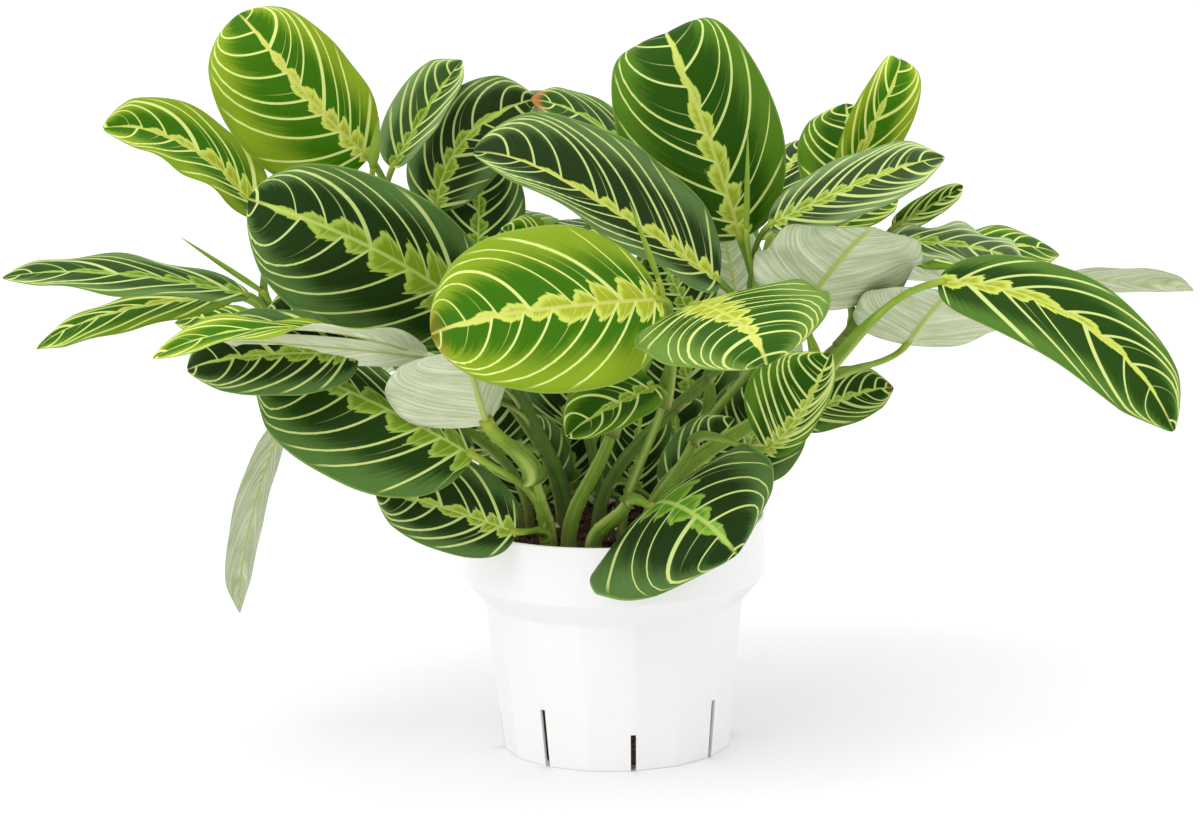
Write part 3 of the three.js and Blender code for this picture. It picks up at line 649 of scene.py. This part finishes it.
def blade_midrib(blade, shares):
    """Points, headings, upward and sideward directions along a midrib. Its heading dips by the arch
    and the curl and swings by the sweep; summed up, that gives a curve, which is turned and
    scaled so that it runs from the base to the tip."""
    base, tip, face = (np.array(part, float) for part in (blade.base, blade.tip, blade.face))
    bend, curl, twist, sweep = np.radians([blade.bend, blade.curl, blade.twist, blade.sweep])

    def headings(x):
        down = bend * (x - 0.5) + curl * np.maximum(0, (x - 0.6) / 0.4) ** 2
        across = sweep * (x - 0.5)
        along = np.stack([np.cos(down) * np.cos(across), np.cos(down) * np.sin(across),
                          -np.sin(down)], -1)
        up = np.stack([np.sin(down) * np.cos(across), np.sin(down) * np.sin(across),
                       np.cos(down)], -1)
        return along, up

    steps = 48
    walk = headings((np.arange(steps) + 0.5) / steps)[0].cumsum(0) / steps
    walk = np.concatenate([np.zeros((1, 3)), walk])
    end = walk[-1]
    swing = math.atan2(end[1], end[0])
    tilt = math.atan2(end[2], math.hypot(end[0], end[1]))
    level = Matrix.Rotation(tilt, 3, "Y") @ Matrix.Rotation(-swing, 3, "Z")
    chord = unit(tip - base)
    right = unit(np.cross(chord, face))
    basis = np.stack([chord, right, np.cross(right, chord)], 1)
    turn = basis @ np.array(level)
    scale = np.linalg.norm(tip - base) / np.linalg.norm(end)
    places = np.linspace(0, 1, steps + 1)
    curve = np.stack([np.interp(shares, places, walk[:, k]) for k in range(3)], -1)
    along, up = headings(shares)
    along, up = along @ turn.T, up @ turn.T
    side = np.cross(along, up)
    roll = (twist * (shares - 0.5))[:, None]
    return (base + scale * curve @ turn.T, along, up * np.cos(roll) - side * np.sin(roll),
            side * np.cos(roll) + up * np.sin(roll))


def bezier(points, shares):
    """A cubic curve and its unit headings, from its four control points."""
    t = shares[:, None]
    a, b, c, d = (np.asarray(point, float) for point in points)
    curve = a * (1 - t) ** 3 + 3 * b * t * (1 - t) ** 2 + 3 * c * t**2 * (1 - t) + d * t**3
    heading = (b - a) * (1 - t) ** 2 + 2 * (c - b) * t * (1 - t) + (d - c) * t**2
    return curve, unit(heading)


def stem_curve(number):
    """The control points of a stem above the soil: it starts upright and leans out to its end."""
    stem = stems[number]
    collar = np.array([*stem.foot, soil_top + stem_upright])
    end = np.array(stem.end, float)
    reach = np.linalg.norm(end - collar)
    lean = unit(np.array([*stem.foot, soil_top - hole_depth]) - end)
    return collar, collar + [0, 0, reach * curve_handle], end + lean * reach * curve_handle, end


def tube(middles, headings, wide, deep, up=(0.31, 0.95, 0.05)):
    """Rings of points round a path. A ring is an ellipse, wide across the path and deep along the
    side that up points to."""
    across = unit(np.cross(headings, up))
    over = np.cross(headings, across)
    turn = np.linspace(0, 2 * math.pi, stem_sides, endpoint=False)[None, :, None]
    return (middles[:, None] + wide[:, None, None] * across[:, None] * np.cos(turn)
            + deep[:, None, None] * over[:, None] * np.sin(turn))


def join(parts):
    """One mesh from closed tubes, each with its rings, its tint along it, how pale it is and how far
    its two edges stand out as wings. The last of the values is the cosine round the tube."""
    points, faces, values = [], [], []
    count = 0
    cosine = np.cos(np.linspace(0, 2 * math.pi, stem_sides, endpoint=False))
    for rings, along, pale, wing in parts:
        number = len(rings)
        flat = rings.reshape(-1, 3)
        poles = np.stack([rings[0].mean(0), rings[-1].mean(0)])
        total = len(flat)
        body = ring_faces(number, stem_sides, total, total + 1)
        faces.append(np.where(body >= 0, body + count, -1))
        points += [flat, poles]
        tint = np.concatenate([np.repeat(along, stem_sides), along[[0, -1]]])
        edge = np.concatenate([(wing * cosine**8 + 0 * along[:, None]).ravel(), [0, 0]])
        turn = np.concatenate([np.tile(cosine, number), [0, 0]])
        values.append(np.stack([tint, np.full(len(tint), pale), edge, turn]))
        count += total + 2
    return np.concatenate(points), np.concatenate(faces), np.concatenate(values, 1)


def stem_tube(number):
    """A stem from its foot in the soil to its end, tapering, with two swollen nodes. It is a little
    flat, and each stem is turned another way."""
    stem = stems[number]
    share = np.linspace(0, 1, 40)
    curve, heading = bezier(stem_curve(number), share)
    foot = np.array([[*stem.foot, soil_top - hole_depth], [*stem.foot, soil_top - 1]])
    middles = np.concatenate([foot, curve])
    headings = np.concatenate([np.tile([0, 0, 1.0], (2, 1)), heading])
    swell = sum(node_swell * np.exp(-(((share - node) / 0.018) ** 2)) for node in node_places)
    width = np.concatenate([[1, 1], (1 - stem_taper * share) * (1 + swell)]) * stem.radius
    tint = np.concatenate([[0, 0], share])
    flat = (math.sin(2.4 * number), math.cos(2.4 * number), 0.05)
    rings = tube(middles, headings, stem_flatness[0] * width, stem_flatness[1] * width, flat)
    return rings, tint * 0.5, stem.pale, 0.9 * stem.pale


def stalk_tube(number, place, end, arrive, vigour, pale):
    """A leaf stalk: a cubic curve that leaves the stem along it and arrives along the midrib. The
    sheath is broad and shallow and closes up halfway; the joint under the blade is swollen."""
    place = np.array([min(0.98, place)])
    start, leave = (part[0] for part in bezier(stem_curve(number), place))
    reach = np.linalg.norm(end - start)
    handle = reach * curve_handle
    share = np.linspace(0, 1, 34)
    curve, heading = bezier([start, start + leave * handle, end - arrive * handle, end], share)
    sheath = np.clip(1 - share / sheath_end, 0, 1) ** 0.7
    joint = np.exp(-((((1 - share) * reach - joint_length * 0.55) / (joint_length * 0.5)) ** 2))
    core = stalk_radius * vigour + (joint_radius - stalk_radius) * joint
    wide = core + sheath * sheath_width * vigour
    deep = core + sheath * sheath_depth * vigour
    return tube(curve, heading, wide, deep, (0, -0.5, 1)), share, pale, sheath[:, None]


def stalk_finish():
    """Smooth living green, browner at the foot and yellower towards the joint, with pale edges on
    the sheaths and a soft shine. The tint runs from 0 at the foot to 1 at the blade."""
    finish = Finish("stalks", Specular_IOR_Level=0.2)
    tint, pale = finish.attribute("tint"), finish.attribute("pale")
    mottle = finish.noise(160, 3.0)
    lines = finish.streaks(finish.attribute("turn") * 5, tint * 3)
    deep = finish.mix(pale, paint(42, 72, 12), paint(94, 130, 30))
    light = finish.mix(pale, paint(84, 120, 34), paint(148, 178, 62))
    green = finish.mix((mottle * 0.3 + lines * 0.7 + tint * 0.4).rise(0.35, 0.95), deep, light)
    green = finish.mix(finish.attribute("edge") * 0.7, green, paint(196, 208, 120))
    old = (tint + (mottle - 0.5) * 0.2).rise(0.1, -0.04)
    green = finish.mix(old * 0.6, green, paint(112, 92, 58))
    joint = tint.rise(0.86, 0.97)
    finish.set(Base_Color=finish.mix(joint, green, paint(160, 172, 60)),
               Roughness=0.42 + 0.12 * mottle)
    finish.bump(lines + finish.noise(600, 2.0) * 0.2, 0.5, 0.0006)
    return finish


def spike_tube(spike):
    """A rolled leaf: a slim cone with its thickest part a third of the way up."""
    base, tip = np.array(spike.base, float), np.array(spike.tip, float)
    share = np.linspace(0, 1, 26)
    middles = base + (tip - base) * share[:, None]
    headings = np.tile(unit(tip - base), (len(share), 1))
    girth = spike.width / 2 * 0.62 * np.sqrt(np.clip(share * 3 + 0.25, 0, 1)) * (1 - share**2.2) + 0.12
    return tube(middles, headings, girth, girth), 0.6 + 0.3 * share, 0.9, 0


# Blades whose stalks are stouter or slimmer than the size of the blade calls for.
stout = {"bb": 1.9, "u": 1.15, "ll": 0.9}

stalk_look = stalk_finish()
for number in stems:
    parts = [stem_tube(number)]
    for name, blade in blades.items():
        if blade.stem != number:
            continue
        points, along, *_ = blade_midrib(blade, np.array([0.0]))
        end = points[0] + along[0] * stalk_past_base
        vigour = min(1.3, 0.75 + sum(blade.widths) / 170) * stout.get(name, 1)
        parts.append(stalk_tube(number, blade.place, end, along[0], vigour, stems[number].pale))
    for spike in spikes:
        if spike.stem == number:
            end = np.array(spike.base, float)
            arrive = unit(np.array(spike.tip, float) - end)
            end = end + arrive * stalk_past_base
            parts.append(stalk_tube(number, spike.place, end, arrive, 0.8, 0.8))
            parts.append(spike_tube(spike))
    points, faces, values = join(parts)
    add_piece(f"stem_{number:02d}_stalks", points, faces, [stalk_look],
              [f"leafy_stem_{number:02d}"], values=dict(zip(("tint", "pale", "edge", "turn"), values)))


# Blades
# Thin leaves on the stalks. Each half carries arching side veins of pale cream, and a jagged
# yellow-green band runs up the middle; the underside is silvery green.
rows = 76
columns = 33
blade_half_thickness = 0.22
vein_count = 8.0
vein_puff = 0.5
margin_warp = 0.9
rib_groove = 0.35
rib_height = 1.1
usual_width = 73

# Blades whose margins wave more than the others', whose side veins stand closer or further apart,
# whose bands have larger or smaller lobes, which are dull and greyish, and whose tips are scorched.
waviness = {"b": 2.5, "v": 2.5, "aa": 4, "t1": 2.5, "t2": 5, "nn": 3, "oo": 2, "e": 2, "h": 2,
            "p": 2, "x": 1.5}
closeness = {"a": 1.1, "e": 1.4, "f": 0.9, "ff": 0.7, "gg": 0.8, "hh": 1.5, "ii": 1.3, "p": 1.4,
             "w": 1.2}
lobe_size = {"a": 0.85, "b": 1.3, "c": 1.5, "d": 1.3, "e": 0.8, "f": 0.9, "gg": 1.3, "w": 1.5,
             "x": 1.3}
dullness = {"e": 0.08, "g": 0.4, "h": 0.1, "nn": 0.15, "p": 0.4, "t2": 0.8, "w": 0.12}
scorching = {"d": 0.25, "i": 0.9, "ii": 0.3, "t1": 0.4}


def blade_outline(u, curl):
    """Half width over the greatest half width: a superellipse whose widest part lies a little
    nearer to the base. The end is drawn in to a point, less so on a blade that curls over there."""
    body = np.sqrt(np.clip(1 - np.abs(2 * u**0.93 - 1) ** 2.2, 0, 1))
    return body * (1 - max(0.1, 0.75 - curl / 100) * np.clip((u - 0.84) / 0.16, 0, 1) ** 1.5)


def vein_root(u, v):
    """Where on the midrib the side vein through (u, v) starts. A vein that starts at x runs to
    u = x + lean(x) * (0.5 |v| + 0.5 |v|^3), and the lean is greatest at a third of the length.
    Solved for x by halving."""
    arch = 0.5 * np.abs(v) + 0.5 * np.abs(v) ** 3
    low, high = np.zeros(u.shape), np.ones(u.shape)
    for _ in range(24):
        x = (low + high) / 2
        lean = 0.96 * (1 - x) * (1 - np.exp(-x / 0.18))
        short = x + lean * arch < u
        low, high = np.where(short, x, low), np.where(short, high, x)
    return (low + high) / 2


def vein_number(x, count, draw):
    """Counts the side veins up to x: they stand closer at the base than further up, a little
    unevenly."""
    number = count * (0.82 * x + 0.18 * (1 - np.exp(-x / 0.1)))
    return number + 0.16 * np.sin(2.1 * number + draw.uniform(0, 6.28)) + draw.uniform(0, 1)


def vein_pitch(surface, number):
    """The distance between neighbouring veins, from how fast their number grows over the
    surface."""
    by_u, by_v = np.gradient(surface, axis=0), np.gradient(surface, axis=1)
    rise_u, rise_v = np.gradient(number, axis=0), np.gradient(number, axis=1)
    uu, uv, vv = (by_u * by_u).sum(-1), (by_u * by_v).sum(-1), (by_v * by_v).sum(-1)
    area = np.maximum(uu * vv - uv**2, 1e-9)
    slope = (vv * rise_u**2 - 2 * uv * rise_u * rise_v + uu * rise_v**2) / area
    return np.clip(1 / np.sqrt(np.maximum(slope, 1e-6)), 0.5, 30)


def make_blade(name, blade, seed, finishes):
    """A closed leaf, u along the midrib and v from margin to margin. Each half rises from the
    midrib at the fold and bends on by the cup. The surface puffs up between the side veins, waves
    at the margin, sinks along the midrib on the upper side and bulges there on the lower."""
    draw = np.random.default_rng(seed)
    t = np.linspace(0, 1, rows)
    u = np.clip(0.5 * t + 0.25 * (1 - np.cos(math.pi * t)), 0.0015, 0.9985)
    s = np.linspace(-1, 1, columns)
    v = s * (0.4 + 0.6 * np.abs(s))
    middle, _, up, side = blade_midrib(blade, u)
    width = sum(blade.widths)
    half = np.where(v > 0, blade.widths[1], blade.widths[0]) * blade_outline(u, blade.curl)[:, None]
    rise, more = math.radians(blade.fold), math.radians(blade.cup) or 1e-5
    share, sign = np.abs(v), np.sign(v)
    out = (np.sin(rise + more * share) - math.sin(rise)) / more * sign
    lift = (math.cos(rise) - np.cos(rise + more * share)) / more
    lean = sign * (rise + more * share)
    surface = middle[:, None] + half[..., None] * (
        out[:, None] * side[:, None] + lift[:, None] * up[:, None])
    normal = up[:, None] * np.cos(lean)[:, None] - side[:, None] * np.sin(lean)[:, None]
    uu, vv = np.meshgrid(u, v, indexing="ij")
    root = vein_root(uu, vv)
    count = vein_count * (0.72 + 0.28 * min(1.2, width / 75)) * closeness.get(name, 1)
    left, right = vein_number(root, count, draw), vein_number(root, count, draw)
    pitch = vein_pitch(surface, left)
    here = np.where(vv > 0, right, left)
    reach = np.abs(vv) * half
    inner = np.clip(reach / 4, 0, 1) * (1 - np.abs(vv) ** 6) * np.clip((1 - uu) / 0.1, 0, 1)
    puff = vein_puff * (0.5 - 0.5 * np.cos(2 * math.pi * here)) * inner * np.clip(pitch / 9, 0, 1)
    wave = np.sin(2 * math.pi * (uu * draw.uniform(2.0, 3.2) + draw.uniform(0, 1, 2)[(vv > 0) * 1]))
    swing = waviness.get(name, 1) * width / usual_width
    ruffle = swing * wave * np.abs(vv) ** 3 * np.sin(math.pi * uu) ** 0.5
    warp = margin_warp * swells(surface, seed + 500, 60) * np.sin(math.pi * uu) * np.abs(vv)
    rib = np.exp(-((reach / 1.0) ** 2)) * (1 - uu)
    height = puff + ruffle + warp - rib_groove * rib
    thick = blade_half_thickness * (1 - 0.6 * np.abs(vv) ** 8)
    upper = surface + normal * (height + thick)[..., None]
    lower = surface + normal * (height - thick - rib_height * rib)[..., None]
    rings = np.concatenate([upper, lower[:, ::-1]], 1)
    around = rings.shape[1]
    poles = np.stack([rings[0].mean(0), rings[-1].mean(0)])
    points = np.concatenate([rings.reshape(-1, 3), poles])
    total = rows * around
    faces = ring_faces(rows, around, total, total + 1)
    under = (np.arange(around) >= columns) & (np.arange(around) < around - 1)
    face_finish = np.concatenate([np.tile(under, rows - 1), under, under]).astype(int)

    def both(grid):
        wrapped = np.concatenate([grid, grid[:, ::-1]], 1).ravel()
        return np.concatenate([wrapped, [grid[0].mean(), grid[-1].mean()]])

    values = {"along": both(uu), "across": both(vv), "reach": both(reach / (width / 2)),
              "left_vein": both(left), "right_vein": both(right), "pitch": both(pitch),
              "young": blade.young, "glow": blade.glow, "lobes": lobe_size.get(name, 1),
              "dull": dullness.get(name, 0), "scorch": scorching.get(name, 0),
              "seed": seed * 0.731 % 17}
    return add_piece(f"blade_{name}", points, faces, finishes, face_finish=face_finish,
                     values=values)


def vein_field(finish):
    """What both faces of a blade read: the place on the blade, the share of the way from one side
    vein to the next, the distance to the nearest one in millimetres and a chance number for each
    gap between veins."""
    across = finish.attribute("across")
    side = across > 0
    left, right = finish.attribute("left_vein"), finish.attribute("right_vein")
    number = left + (right - left) * side
    cell = number.floor()
    part = number - cell
    gap = part.least(1 - part) * finish.attribute("pitch")
    mark = cell * 7.31 + side * 3.17 + finish.attribute("seed")
    chance = finish.node("ShaderNodeTexWhiteNoise", {"noise_dimensions": "1D"}, {"W": mark})
    return abs(across), number, part, gap, chance


def upper_finish():
    """The upper face. Its satin ground is dark near the midrib and lighter towards the margin, and
    lime on young leaves. Cream side veins cross it. In the band, a toothed lobe stands on the
    tipward side of each vein, comes to a corner and falls back to a narrow neck at the next."""
    finish = Finish("leaf_upper", Specular_IOR_Level=0.1)
    span, number, part, gap, chance = vein_field(finish)
    along, reach, pitch = (finish.attribute(name) for name in ("along", "reach", "pitch"))
    young, glow = finish.attribute("young"), finish.attribute("glow")
    fine, coarse = finish.noise(500, 2.0), finish.noise(60, 3.0)
    streak = finish.streaks(number * 13, span * 1.4)
    length = (0.29 - 0.08 * glow) * finish.attribute("lobes")
    length = length * (1.12 - 1.2 * along**1.45).most(0.03) * along.rise(-0.1, 0.1)
    lobe = length * (0.85 + 0.3 * chance)
    corner = 0.36 + 0.14 * chance
    tooth = (part * 3.6 + chance * 5).fraction()
    climb = (part / corner).least(1)
    fall = ((part - corner) / (0.92 - corner)).most(0).least(1)
    edge = lobe * ((0.6 + 0.4 * climb) * (1 - 0.72 * fall**1.3) + (tooth - 0.5) * (0.2 - 0.12 * fall))
    band = (reach - edge).rise(0.01, -0.01)
    inside = (edge - reach).rise(0.0, 0.12)
    deep = 1 - span.rise(0.3 - 0.15 * young, 1.05 - 0.05 * young)
    # Painted shade: the ground is darker in the middle of each strip between two side veins, standing in
    # for the shading of the strip's puffed surface.
    deep = deep * (0.75 + 0.25 * ((part - 0.02) * 3.1416).sine())
    deep = deep + (streak - 0.5) * 0.55 + (coarse - 0.5) * 0.35 - along.rise(0.6, 1) * 0.12
    deep = deep.rise(0.08, 0.8)
    dark = finish.mix(young.rise(0, 0.5), paint(26, 50, 8), paint(38, 80, 0))
    dark = finish.mix(young.rise(0.45, 1), dark, paint(60, 114, 0))
    light = finish.mix(young.rise(0, 0.5), paint(80, 112, 54), paint(82, 124, 22))
    light = finish.mix(young.rise(0.45, 1), light, paint(140, 166, 32))
    ground = finish.mix(deep, light, dark)
    ground = finish.mix(finish.attribute("dull") * (1.2 - deep), ground, paint(150, 172, 128))
    yellow = finish.mix(glow, paint(116, 164, 56), paint(206, 216, 96))
    olive = finish.mix(glow, paint(66, 124, 22), paint(166, 178, 34))
    leafy = (inside * 0.8 + (streak - 0.5) * 0.5).rise(0.1, 0.9)
    flesh = finish.mix(leafy, yellow, olive)
    cream = finish.mix(young, paint(198, 214, 130), paint(224, 236, 136))
    width = (0.72 - 0.15 * span - 0.2 * along).most(0.2)
    vein = (gap - width).rise(0.12, -0.12) * span.rise(0.99, 0.86)
    branch = (abs(part - corner * 0.9) * pitch).rise(0.28, 0.1)
    stray = branch * (reach - lobe).rise(0.5, 0.0) * (chance > 0.6)
    skin = finish.mix(stray * 0.6, ground, cream)
    skin = finish.mix(band, skin, finish.mix(branch * 0.5, flesh, cream))
    skin = finish.mix(vein * (0.95 - band * 0.3), skin, cream)
    rib = (reach * 10).rise(0.32, 0.12) * along.rise(1.02, 0.9)
    skin = finish.mix(rib * 0.8, skin, finish.mix(glow, paint(176, 204, 104), paint(208, 212, 112)))
    rim = span.rise(0.965, 0.995)
    skin = finish.mix(rim * 0.5, skin, paint(150, 184, 84))
    burnt = (along + (coarse - 0.5) * 0.12).rise(0.93, 0.985) * finish.attribute("scorch")
    skin = finish.mix(burnt, skin, paint(178, 110, 58))
    finish.set(Base_Color=skin, Roughness=0.5 + 0.1 * fine)
    finish.bump(streak * 0.7 + fine * 0.3 - vein * 0.8, 0.35, 0.0004)
    return finish


def under_finish():
    """The underside: silvery green, faintly lined along the side veins, with a yellow-green
    midrib."""
    finish = Finish("leaf_underside", Specular_IOR_Level=0.3)
    span, number, _, gap, _ = vein_field(finish)
    along, reach = finish.attribute("along"), finish.attribute("reach")
    coarse = finish.noise(70, 3.0)
    streak = finish.streaks(number * 5, span * 1.2)
    silver = finish.mix(finish.attribute("young"), paint(196, 206, 166), paint(246, 250, 226))
    shade = finish.mix(finish.attribute("young"), paint(138, 158, 106), paint(216, 226, 182))
    skin = finish.mix((streak * 0.75 + coarse * 0.35).rise(0.35, 0.75), silver, shade)
    vein = gap.rise(0.75, 0.2) * span.rise(1, 0.8)
    skin = finish.mix(vein * 0.45, skin, paint(236, 240, 204))
    lines = ((number * 38).sine() * 0.5 + 0.5).rise(0.6, 1)
    skin = finish.mix(lines * 0.18, skin, shade)
    rib = reach.rise(0.06, 0.025) * along.rise(1.05, 0.85)
    finish.set(Base_Color=finish.mix(rib * 0.9, skin, paint(178, 192, 92)), Roughness=0.5)
    finish.bump(lines * 0.4 + vein, 0.5, 0.0005)
    return finish


faces_of_a_blade = [upper_finish(), under_finish()]
for seed, (name, blade) in enumerate(blades.items()):
    make_blade(name, blade, seed, faces_of_a_blade)


# Floor, light and camera
# A white sweep under even white light, with a broad soft light from above on the front left, and
# weaker ones from straight above and from behind on the right. The camera stands two metres off
# with a long lens and looks a little down.
floor_size = 12
camera_distance = 2.0
camera_rise = math.radians(15.66)
camera_dip = math.radians(10.89)
camera_yaw = math.radians(-0.16)
camera_roll = math.radians(-1.26)
image_width = 1200
focal_pixels = 3928
film_width = 36
# A trace of lilac makes up for the green light that the leaves throw on the floor.
floor_white = (0.88, 0.873, 0.905, 1)

bpy.ops.mesh.primitive_plane_add(size=floor_size, location=(0, floor_size / 4, 0))
floor = bpy.context.object
floor.name = "floor"
floor_look = Finish("white_sweep", Base_Color=floor_white, Roughness=0.8, Specular_IOR_Level=0.1)
floor.data.materials.append(floor_look.material)


def add_sun(name, toward, spread, power):
    """Even light from far off, soft because it comes from a wide patch of sky."""
    data = bpy.data.lights.new(name, "SUN")
    data.angle = math.radians(spread)
    data.energy = power
    lamp = bpy.data.objects.new(name, data)
    lamp.rotation_euler = (-Vector(toward)).to_track_quat("-Z", "Y").to_euler()
    bpy.context.scene.collection.objects.link(lamp)


add_sun("key_light", (-0.65, -0.6, 1.1), 60, 0.9)
add_sun("top_light", (0, -0.1, 1), 90, 0.3)
add_sun("back_light", (0.6, 0.6, 0.9), 80, 0.35)

world = bpy.data.worlds.new("studio")
world.use_nodes = True
world.node_tree.nodes["Background"].inputs["Color"].default_value = (1, 1, 1, 1)
world.node_tree.nodes["Background"].inputs["Strength"].default_value = 1.0
bpy.context.scene.world = world
bpy.context.scene.view_settings.view_transform = "Standard"

lens = bpy.data.cameras.new("camera")
lens.sensor_width = film_width
lens.lens = film_width * focal_pixels / image_width
lens.clip_end = 50
camera = bpy.data.objects.new("camera", lens)
spot = (0, -camera_distance * math.cos(camera_rise), camera_distance * math.sin(camera_rise))
camera.matrix_world = (
    Matrix.Translation(spot)
    @ Matrix.Rotation(-camera_yaw, 4, "Z")
    @ Matrix.Rotation(math.pi / 2 - camera_dip, 4, "X")
    @ Matrix.Rotation(camera_roll, 4, "Z")
)
bpy.context.scene.collection.objects.link(camera)
bpy.context.scene.camera = camera
